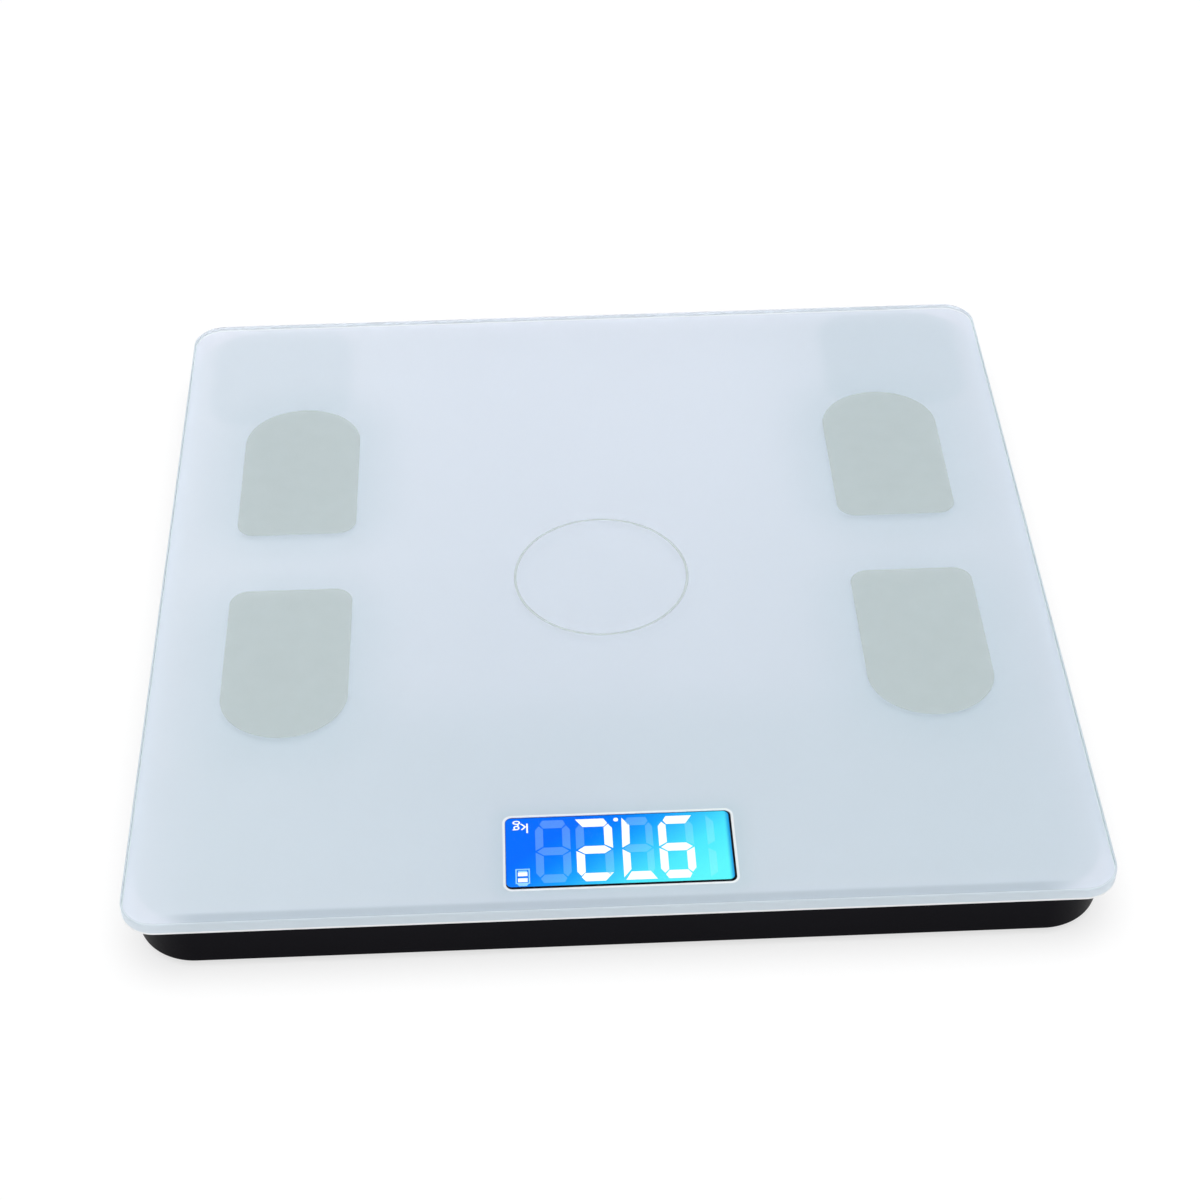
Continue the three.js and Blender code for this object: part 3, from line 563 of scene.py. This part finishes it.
def rounded_rect(width, depth, radius, steps, centre=(0.0, 0.0)):
    """Points round a rectangle with round corners of `steps` lines each, anticlockwise."""
    points = []
    for turn, (sx, sy) in enumerate(((1, 1), (-1, 1), (-1, -1), (1, -1))):
        cx = centre[0] + sx * (width / 2 - radius)
        cy = centre[1] + sy * (depth / 2 - radius)
        for i in range(steps + 1):
            angle = math.radians(90 * turn + 90 * i / steps)
            points.append((cx + radius * math.cos(angle), cy + radius * math.sin(angle)))
    return points


def finished(bm, name, sharp=35.0):
    """Makes an object of a bmesh, smooth apart from its sharp edges."""
    bmesh.ops.recalc_face_normals(bm, faces=bm.faces)
    limit = math.radians(sharp)
    for face in bm.faces:
        face.smooth = True
    for edge in bm.edges:
        edge.smooth = len(edge.link_faces) == 2 and edge.calc_face_angle(0.0) < limit
    mesh = bpy.data.meshes.new(name)
    bm.to_mesh(mesh)
    bm.free()
    made = bpy.data.objects.new(name, mesh)
    bpy.context.scene.collection.objects.link(made)
    return made


def lofted(name, rings, hollow=False):
    """A closed body through rings of points; a hollow one joins its last ring to its first."""
    bm = bmesh.new()
    rows = [[bm.verts.new(point) for point in ring] for ring in rings]
    pairs = list(zip(rows, rows[1:])) + ([(rows[-1], rows[0])] if hollow else [])
    for lower, upper in pairs:
        for i in range(len(lower)):
            j = (i + 1) % len(lower)
            bm.faces.new((lower[i], lower[j], upper[j], upper[i]))
    if not hollow:
        bm.faces.new(rows[0][::-1])
        bm.faces.new(rows[-1])
    return finished(bm, name)


def stacked(*levels):
    """Rings of points from (flat loop, height) pairs."""
    return [[(x, y, z) for x, y in loop] for loop, z in levels]


def slab(name, outline, profile):
    """A body whose outline is drawn in by each inset of an (inset, height) profile."""
    return lofted(name, stacked(*((outline(inset), z) for inset, z in profile)))


def arris(bottom, top, reach, steps):
    """An (inset, height) profile of a plate whose two edges are rounded by `reach`."""
    turns = [math.radians(90 * i / steps) for i in range(steps + 1)]
    lower = [(reach * (1 - math.sin(t)), bottom + reach * (1 - math.cos(t))) for t in turns]
    return lower + [(inset, top + bottom - z) for inset, z in reversed(lower)]


def turned(name, profile, place, steps=72, hollow=False):
    """A body turned about the upright axis at `place`, from (radius, height) points."""
    rings = [[(place[0] + r * math.cos(2 * math.pi * i / steps),
               place[1] + r * math.sin(2 * math.pi * i / steps), z) for i in range(steps)]
             for r, z in profile]
    return lofted(name, rings, hollow)


def flat_piece(name, outlines, bottom, top):
    """Thin flat pieces of one printed layer, as one object."""
    bm = bmesh.new()
    for outline in outlines:
        low = [bm.verts.new((x, y, bottom)) for x, y in outline]
        high = [bm.verts.new((x, y, top)) for x, y in outline]
        bm.faces.new(low[::-1])
        bm.faces.new(high)
        for i in range(len(low)):
            j = (i + 1) % len(low)
            bm.faces.new((low[i], low[j], high[j], high[i]))
    return finished(bm, name)


def dress(piece, slot, body, *nodes, finish=None):
    """Gives a piece its finish (the slot's, unless another is given), its body, and the CAD nodes
    that it stands for.
    """
    piece.data.materials.clear()
    piece.data.materials.append(finish or FINISHES[slot])
    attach(piece, body)
    if nodes:
        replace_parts(piece, *nodes)
    return piece


def shade_evenly(piece):
    """Keeps large flat faces flat in shading, beside the rounded edges that they run into."""
    even = piece.modifiers.new("even_shading", "WEIGHTED_NORMAL")
    even.keep_sharp = True


def refined(node, bevel, sharp=30.0):
    """A clean copy of a CAD node: joined faces, edges softened by `bevel` mm, smooth curves."""
    bm = bmesh.new()
    bm.from_mesh(frame["nodes"][node].data)
    bmesh.ops.remove_doubles(bm, verts=bm.verts, dist=0.002 * MM)
    bmesh.ops.dissolve_limit(bm, angle_limit=math.radians(0.5), verts=bm.verts, edges=bm.edges)
    piece = finished(bm, f"{node}_finished", sharp)
    if bevel:
        soft = piece.modifiers.new("softened_edges", "BEVEL")
        soft.width = bevel * MM
        soft.segments = 2
        soft.limit_method = "ANGLE"
        soft.angle_limit = math.radians(sharp)
        soft.use_clamp_overlap = True
    shade_evenly(piece)
    return dress(piece, SLOT_OF[node], BODY_OF[node], node)


# ---- Platform -----------------------------------------------------------------------------

def make_glass():
    """The glass plate with its ground edges, lower than the CAD's by the coating on it."""
    side = size(GLASS)
    top = GLASS[1].z - COATING

    def outline(inset):
        return rounded_rect(side.x - 2 * inset, side.y - 2 * inset, GLASS_CORNER - inset, 20)

    glass = slab("glass_plate", outline, arris(GLASS[0].z, top, ARRIS, 5))
    shade_evenly(glass)
    dress(glass, "glass", HOUSING, "glass_platform")


def make_print():
    """The ink layer, which sits against the glass and is open at the display."""
    side = size(FILM)
    steps = 20
    outer = rounded_rect(side.x, side.y, GLASS_CORNER - 0.5 * MM, steps)
    inner = rounded_rect(*WINDOW_SIZE, WINDOW_CORNER, steps, WINDOW_MIDDLE)
    top = FILM[1].z + EMBED
    rings = stacked((outer, FILM[0].z), (outer, top), (inner, top), (inner, FILM[0].z))
    dress(lofted("ink_layer", rings, hollow=True), "white_print", HOUSING, "printed_backing")


def electrode_outline(box, toward, inset=0.0):
    """The outline of an electrode: an arch at its outer end and small corners at the gap."""
    low, high = box
    cx = (low.x + high.x) / 2
    half = (high.x - low.x) / 2 - inset
    near = (low.y + inset) if toward > 0 else (high.y - inset)
    far = (high.y - inset) if toward > 0 else (low.y + inset)
    arch = far - toward * (ELECTRODE_ARCH - inset)
    corner = ELECTRODE_CORNER - inset
    corner_steps, arch_steps = 8, 32
    points = []
    for i in range(corner_steps + 1):
        angle = math.radians(270 + 90 * i / corner_steps)
        points.append((cx + half - corner + corner * math.cos(angle),
                       near + toward * (corner + corner * math.sin(angle))))
    for i in range(arch_steps + 1):
        angle = math.radians(180 * i / arch_steps)
        points.append((cx + half * math.cos(angle),
                       arch + toward * (ELECTRODE_ARCH - inset) * math.sin(angle)))
    for i in range(corner_steps + 1):
        angle = math.radians(180 + 90 * i / corner_steps)
        points.append((cx - half + corner + corner * math.cos(angle),
                       near + toward * (corner + corner * math.sin(angle))))
    return points


def make_electrodes():
    """The four electrodes and the ring: thin films on the glass that cast no shadow."""
    top = GLASS[1].z
    bottom = top - 0.7 * COATING
    for corner in CORNERS:
        toward = 1 if corner.startswith("front") else -1
        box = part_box(f"electrode_{corner}")
        rings = stacked((electrode_outline(box, toward), bottom),
                        (electrode_outline(box, toward, 0.5 * COATING), top))
        film = lofted(f"electrode_film_{corner}", rings)
        film.visible_shadow = False
        dress(film, "electrode_coating", HOUSING, f"electrode_{corner}")
    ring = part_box("centre_ring")
    outside = size(ring).x / 2
    inside = outside - RING_WIDTH
    profile = [(inside, bottom), (outside, bottom), (outside, top), (inside, top)]
    film = turned("ring_film", profile, middle(ring), 192, hollow=True)
    film.visible_shadow = False
    dress(film, "electrode_coating", HOUSING, "centre_ring")


# ---- Display ------------------------------------------------------------------------------

# The reading, in millimetres: each digit's middle, and its segments' outlines about it. A lit
# segment has its own outline where the photo shows one cut short or slanted.
DIGIT_MIDDLE = 107.2
DIGIT_PLACES = {"ten": -15.53, "unit": -5.2, "tenth": 6.29, "spare": 17.32}
DIGIT_STRETCH = {"unit": 0.89, "tenth": 1.05}
BAR = [(-2.8, 10.95), (2.7, 10.95), (3.45, 9.55), (2.45, 8.15), (-2.45, 8.15), (-3.45, 9.55)]
SIDE = [(-4.65, 7.5), (-3.65, 9.0), (-2.55, 7.8), (-2.55, 1.75), (-4.65, 0.35)]
CENTRE = [(-4.2, 0.05), (-2.5, 1.4), (2.5, 1.4), (4.2, 0.05), (2.5, -1.3), (-2.5, -1.3)]


def mirrored(points, sx, sy):
    """An outline flipped along x, y or both."""
    return [(sx * x, sy * y) for x, y in points]


SEGMENTS = {
    "a": BAR, "b": mirrored(SIDE, -1, 1), "c": mirrored(SIDE, -1, -1), "d": mirrored(BAR, 1, -1),
    "e": mirrored(SIDE, 1, -1), "f": SIDE, "g": CENTRE,
}
OPEN_BAR = [(-5.15, 10.95), (4.1, 10.95), (2.35, 8.15), (-3.35, 8.15)]
SLANT_BAR = [(-4.5, 8.15), (-2.4, 10.95), (2.6, 10.95), (3.6, 9.5), (2.7, 8.15)]
LIT = {
    "ten": {"a": BAR, "b": SEGMENTS["b"], "c": SEGMENTS["c"], "f": SIDE, "g": CENTRE,
            "d": [(-4.5, -10.95), (-2.75, -8.15), (2.4, -8.15), (3.2, -9.5), (2.4, -10.95)]},
    "unit": {"a": OPEN_BAR, "b": [(4.65, 10.1), (4.65, 0.3), (2.4, 1.75), (2.4, 7.3)],
             "c": [(4.65, -0.3), (2.35, -1.75), (2.15, -8.3), (4.4, -10.95)]},
    "tenth": {"a": SLANT_BAR, "b": SEGMENTS["b"], "e": SEGMENTS["e"], "g": CENTRE,
              "d": [(-3.5, -9.3), (-2.6, -8.15), (2.8, -8.15), (4.65, -10.95), (-2.6, -10.95)]},
    "spare": {},
}
LEADING_ONE = {"b": [(1.0, 10.95), (1.0, 0.9), (-1.0, 2.3), (-1.0, 9.3)],
               "c": [(1.0, -0.2), (1.0, -10.8), (-1.0, -8.4), (-1.0, -1.5)]}
LEADING_PLACE = -24.8
POINT_PLACE = (0.25, 96.8)
POINT_WIDTH = 1.25
CHARGE_X = 25.55
CHARGE_TOP = 119.05
CHARGE_BARS = (114.25, 116.3)
UNIT_PLACE = (23.55, 97.1)
UNIT_HEIGHT = 4.9


def placed(points, x, y=DIGIT_MIDDLE):
    """An outline in millimetres about (x, y), as metres in the row frame."""
    return [((x + px) * MM, (y + py) * MM) for px, py in points]


def box_outline(x0, y0, x1, y1):
    """A rectangle in millimetres, as metres."""
    return [(x0 * MM, y0 * MM), (x1 * MM, y0 * MM), (x1 * MM, y1 * MM), (x0 * MM, y1 * MM)]


def make_digits():
    """The outlines of the lit and the unlit segments of the reading."""
    lit, unlit = [], []
    for digit, x in DIGIT_PLACES.items():
        for segment, points in SEGMENTS.items():
            shown = LIT[digit].get(segment)
            outline = [(px * DIGIT_STRETCH.get(digit, 1.0), py) for px, py in shown or points]
            (lit if shown else unlit).append(placed(outline, x))
    for points in LEADING_ONE.values():
        unlit.append(placed(points, LEADING_PLACE))
    lit.append(rounded_rect(POINT_WIDTH * MM, POINT_WIDTH * MM, 0.5 * MM, 6,
                            (POINT_PLACE[0] * MM, POINT_PLACE[1] * MM)))
    return lit, unlit


def battery_mark():
    """The charge mark: a bright two-bar fill inside a pale outline."""
    left, right, top = CHARGE_X - 1.9, CHARGE_X + 1.9, CHARGE_TOP - 0.85
    bottom = CHARGE_TOP - 6.0
    wall = 0.34
    pale = [box_outline(left, bottom, right, bottom + wall),
            box_outline(left, bottom + wall, left + wall, top - wall),
            box_outline(right - wall, bottom + wall, right, top - wall),
            box_outline(left, top - wall, right, top),
            placed([(-1.5, 0), (1.5, 0), (1.0, 0.75), (-1.0, 0.75)], CHARGE_X, top),
            box_outline(left + 0.75, bottom + 0.65, right - 0.75, bottom + 1.15)]
    bright = [box_outline(left + 0.65, y, right - 0.65, y + 1.3) for y in CHARGE_BARS]
    return bright, pale


def unit_mark(level):
    """The two letters of the weight unit."""
    curve = bpy.data.curves.new("unit_letters", "FONT")
    curve.body = "kg"
    curve.size = UNIT_HEIGHT * MM
    curve.extrude = 0.01 * MM
    holder = bpy.data.objects.new("unit_letters_curve", curve)
    bpy.context.scene.collection.objects.link(holder)
    holder.location = (UNIT_PLACE[0] * MM, UNIT_PLACE[1] * MM, level)
    bpy.context.view_layer.update()
    graph = bpy.context.evaluated_depsgraph_get()
    mesh = bpy.data.meshes.new_from_object(holder.evaluated_get(graph))
    mesh.transform(holder.matrix_world)
    bpy.data.objects.remove(holder)
    letters = bpy.data.objects.new("unit_letters", mesh)
    bpy.context.scene.collection.objects.link(letters)
    return letters


def make_display():
    """The lit panel, what it shows, and the black bezel round it."""
    centre, side = middle(PANEL), size(PANEL)
    top = PANEL[1].z

    def outline(inset):
        return rounded_rect(side.x - 2 * inset, side.y - 2 * inset, 0.4 * MM, 4,
                            (centre.x, centre.y))

    panel = slab("display_panel", outline, arris(PANEL[0].z, top, 0.12 * MM, 2))
    dress(panel, "lcd_face", HOUSING, "lcd_panel")

    level = top + 0.01 * MM
    thick = 0.02 * MM
    lit, unlit = make_digits()
    bright, pale = battery_mark()
    white = lit_finish("display_lit", 1.0, 1.25)
    ghost = lit_finish("display_unlit", 0.17, 1.1, (0.55, 1.0, 1.0, 1.0))
    outline_glow = lit_finish("display_outline", 0.65, 1.1, (0.5, 1.0, 1.0, 1.0))
    for name, outlines, finish in (("digits_lit", lit, white), ("digits_unlit", unlit, ghost),
                                   ("charge_bars", bright, white),
                                   ("charge_outline", pale, outline_glow)):
        dress(flat_piece(name, outlines, level, level + thick), "lcd_face", HOUSING,
              finish=finish)
    dress(unit_mark(level + thick), "lcd_face", HOUSING, finish=white)

    outer = rounded_rect(*size(FRAME).xy, 1.5 * MM, 12, middle(FRAME).xy)
    # The opening in the bezel is a little smaller than the window and not quite in its middle. The
    # wider strip of black bezel this leaves along the +y and -x sides is painted shade: it stands
    # in for the shadow at the window's edge.
    opening_centre = (WINDOW_MIDDLE[0] + 0.22 * MM, WINDOW_MIDDLE[1] - 0.57 * MM)
    opening = rounded_rect(WINDOW_SIZE[0] - 0.68 * MM, WINDOW_SIZE[1] - 0.75 * MM, 1.5 * MM, 12,
                           opening_centre)
    pocket = rounded_rect(side.x + 0.3 * MM, side.y + 0.3 * MM, 0.5 * MM, 12, (centre.x, centre.y))
    low, lip, high = FRAME[0].z, top + 0.04 * MM, FRAME[1].z
    rings = stacked((outer, low), (outer, high), (opening, high), (opening, lip), (pocket, lip),
                    (pocket, low))
    dress(lofted("display_bezel", rings, hollow=True), "black_plastic", HOUSING, "lcd_frame")


# ---- Tray, feet and fittings --------------------------------------------------------------

def make_gasket():
    """The foam tape that joins the glass to the tray's wall."""
    side = size(GASKET)
    inner = size(TRAY).x - 2 * TRAY_WALL
    outer_loop = rounded_rect(side.x, side.y, TRAY_CORNER - 0.3 * MM, 16)
    inner_loop = rounded_rect(inner, inner, TRAY_CORNER - TRAY_WALL, 16)
    bottom, top = GASKET[0].z, GASKET[1].z
    rings = stacked((outer_loop, bottom), (outer_loop, top), (inner_loop, top),
                    (inner_loop, bottom))
    dress(lofted("foam_gasket", rings, hollow=True), "gasket_foam", HOUSING, "adhesive_gasket")


def make_foot(corner):
    """One foot: the moulded cup with its round edges and the ribbed rubber pad in it."""
    cup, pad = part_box(f"foot_cup_{corner}"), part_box(f"foot_pad_{corner}")
    place = middle(cup)
    r = size(cup).x / 2
    pad_r = size(pad).x / 2
    seat = pad[1].z
    low, high = cup[0].z, cup[1].z
    rim_top, web, neck = 4.2 * MM, 4.95 * MM, 5.3 * MM   # heights from the ground
    stud = 5.5 * MM
    axis = 0.01 * MM
    profile = [(axis, seat), (pad_r + 0.3 * MM, seat), (pad_r + 0.3 * MM, low + 0.25 * MM),
               (pad_r + 0.5 * MM, low), (r - 1.1 * MM, low), (r - 0.5 * MM, low + 0.2 * MM),
               (r - 0.1 * MM, low + 0.6 * MM), (r, low + 1.1 * MM), (r, rim_top),
               (r - 0.4 * MM, rim_top + 0.4 * MM), (stud + 0.6 * MM, web), (stud, neck),
               (stud, high - 0.3 * MM), (stud - 0.3 * MM, high), (axis, high)]
    dress(turned(f"foot_cup_{corner}_finished", profile, place), "black_plastic",
          f"foot_{corner}", f"foot_cup_{corner}")

    ground = pad[0].z
    groove_top = ground + 0.35 * MM
    profile = [(axis, ground)]
    for radius in (4.0, 7.0, 10.0, 13.0):
        groove = radius * MM
        profile += [(groove - 0.55 * MM, ground), (groove - 0.35 * MM, groove_top),
                    (groove + 0.35 * MM, groove_top), (groove + 0.55 * MM, ground)]
    profile += [(pad_r - 0.6 * MM, ground), (pad_r - 0.2 * MM, ground + 0.2 * MM),
                (pad_r, ground + 0.6 * MM), (pad_r, seat), (axis, seat)]
    dress(turned(f"foot_pad_{corner}_finished", profile, place), "rubber", f"foot_{corner}",
          f"foot_pad_{corner}")


def make_fittings():
    """Everything else keeps its CAD shape, with cleaner edges and curves."""
    refined("base_tray", 0.0)
    refined("battery_door", 0.2)
    refined("unit_button", 0.2)
    done = {node for piece in bpy.data.objects for node in list(piece.get("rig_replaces", []))}
    for node in frame["nodes"]:
        if node in done:
            continue
        if any(word in node for word in ("cable", "lead", "battery_cell", "battery_spring")):
            refined(node, 0.0, sharp=50.0)
        else:
            refined(node, 0.1)


# ---- Stage, light and camera --------------------------------------------------------------

# The photo's camera: what it looks at and from how far (metres), its angles (degrees) and its
# lens (mm, on a sensor 36 mm wide).
CAMERA_AIM = Vector((0.00082, 0.0124, 0.020))
CAMERA_DISTANCE = 0.7118
CAMERA_AZIMUTH = 177.98
CAMERA_ELEVATION = 42.42
CAMERA_ROLL = -0.64
CAMERA_LENS = 72.83


def make_camera():
    """The camera, at the photo's viewing angle."""
    a, e = math.radians(CAMERA_AZIMUTH), math.radians(CAMERA_ELEVATION)
    back = Vector((math.sin(a) * math.cos(e), -math.cos(a) * math.cos(e), math.sin(e)))
    level = Vector((0, 0, 1)).cross(back).normalized()
    over = back.cross(level)
    roll = math.radians(CAMERA_ROLL)
    right = level * math.cos(roll) + over * math.sin(roll)
    up = back.cross(right)
    data = bpy.data.cameras.new("camera")
    data.lens = CAMERA_LENS
    data.sensor_width = 36
    data.clip_start, data.clip_end = 0.01, 100
    camera = bpy.data.objects.new("camera", data)
    bpy.context.scene.collection.objects.link(camera)
    turn = Matrix((right, up, back)).transposed().to_4x4()
    camera.matrix_world = Matrix.Translation(CAMERA_AIM + back * CAMERA_DISTANCE) @ turn
    bpy.context.scene.camera = camera


# How bright the room is by the sine of the angle above the floor: pale walls, a dim band, and a
# bright ceiling.
ROOM_TONES = ((0.0, 1.0), (0.20, 0.9), (0.40, 0.03), (0.80, 0.02), (0.95, 1.0))
ROOM_TINT = (0.985, 0.99, 1.0)
FLOOR_REACH = 30.0
FLOOR_DROP = 0.05 * MM           # keeps the floor off the plane of the feet's pads
LAMP_PLACE = (0.0, 0.1, 1.9)
LAMP_WIDTH = 2.6
LAMP_POWER = 34


def room_tone(tone):
    """A grey of the room, with its slight tint."""
    return tuple(part * tone for part in ROOM_TINT) + (1,)


def softbox(name, place, aim, width, power):
    """A square lamp, `width` metres wide, turned towards `aim`."""
    data = bpy.data.lights.new(name, "AREA")
    data.shape = "SQUARE"
    data.size = width
    data.energy = power
    lamp = bpy.data.objects.new(name, data)
    bpy.context.scene.collection.objects.link(lamp)
    lamp.location = place
    lamp.rotation_euler = (Vector(aim) - Vector(place)).to_track_quat("-Z", "Y").to_euler()


def make_stage():
    """The floor, the room that the glass reflects, a plain pale backdrop and the light."""
    mesh = bpy.data.meshes.new("floor")
    corners = [(sx * FLOOR_REACH, sy * FLOOR_REACH, -FLOOR_DROP)
               for sx, sy in ((-1, -1), (1, -1), (1, 1), (-1, 1))]
    mesh.from_pydata(corners, [], [(0, 1, 2, 3)])
    floor = bpy.data.objects.new("floor", mesh)
    floor.data.materials.append(floor_finish())
    bpy.context.scene.collection.objects.link(floor)

    world = bpy.data.worlds.new("studio")
    world.use_nodes = True
    nodes, links = world.node_tree.nodes, world.node_tree.links
    split = nodes.new("ShaderNodeSeparateXYZ")
    links.new(nodes.new("ShaderNodeTexCoord").outputs["Generated"], split.inputs["Vector"])
    ramp = nodes.new("ShaderNodeValToRGB")
    links.new(split.outputs["Z"], ramp.inputs["Fac"])
    fill_ramp(ramp, [(height, room_tone(tone)) for height, tone in ROOM_TONES])
    backdrop = nodes.new("ShaderNodeMix")
    backdrop.data_type = "RGBA"
    links.new(nodes.new("ShaderNodeLightPath").outputs["Is Camera Ray"], backdrop.inputs["Factor"])
    links.new(ramp.outputs["Color"], backdrop.inputs["A"])
    backdrop.inputs["B"].default_value = room_tone(1.0)
    sky = nodes["Background"]
    links.new(backdrop.outputs["Result"], sky.inputs["Color"])
    sky.inputs["Strength"].default_value = 1.0
    bpy.context.scene.world = world
    softbox("ceiling_light", LAMP_PLACE, (0, 0, 0), LAMP_WIDTH, LAMP_POWER)


make_camera()
make_stage()
make_glass()
make_print()
make_electrodes()
make_display()
make_gasket()
for corner_name in CORNERS:
    make_foot(corner_name)
make_fittings()

bpy.context.scene.view_settings.view_transform = "Standard"
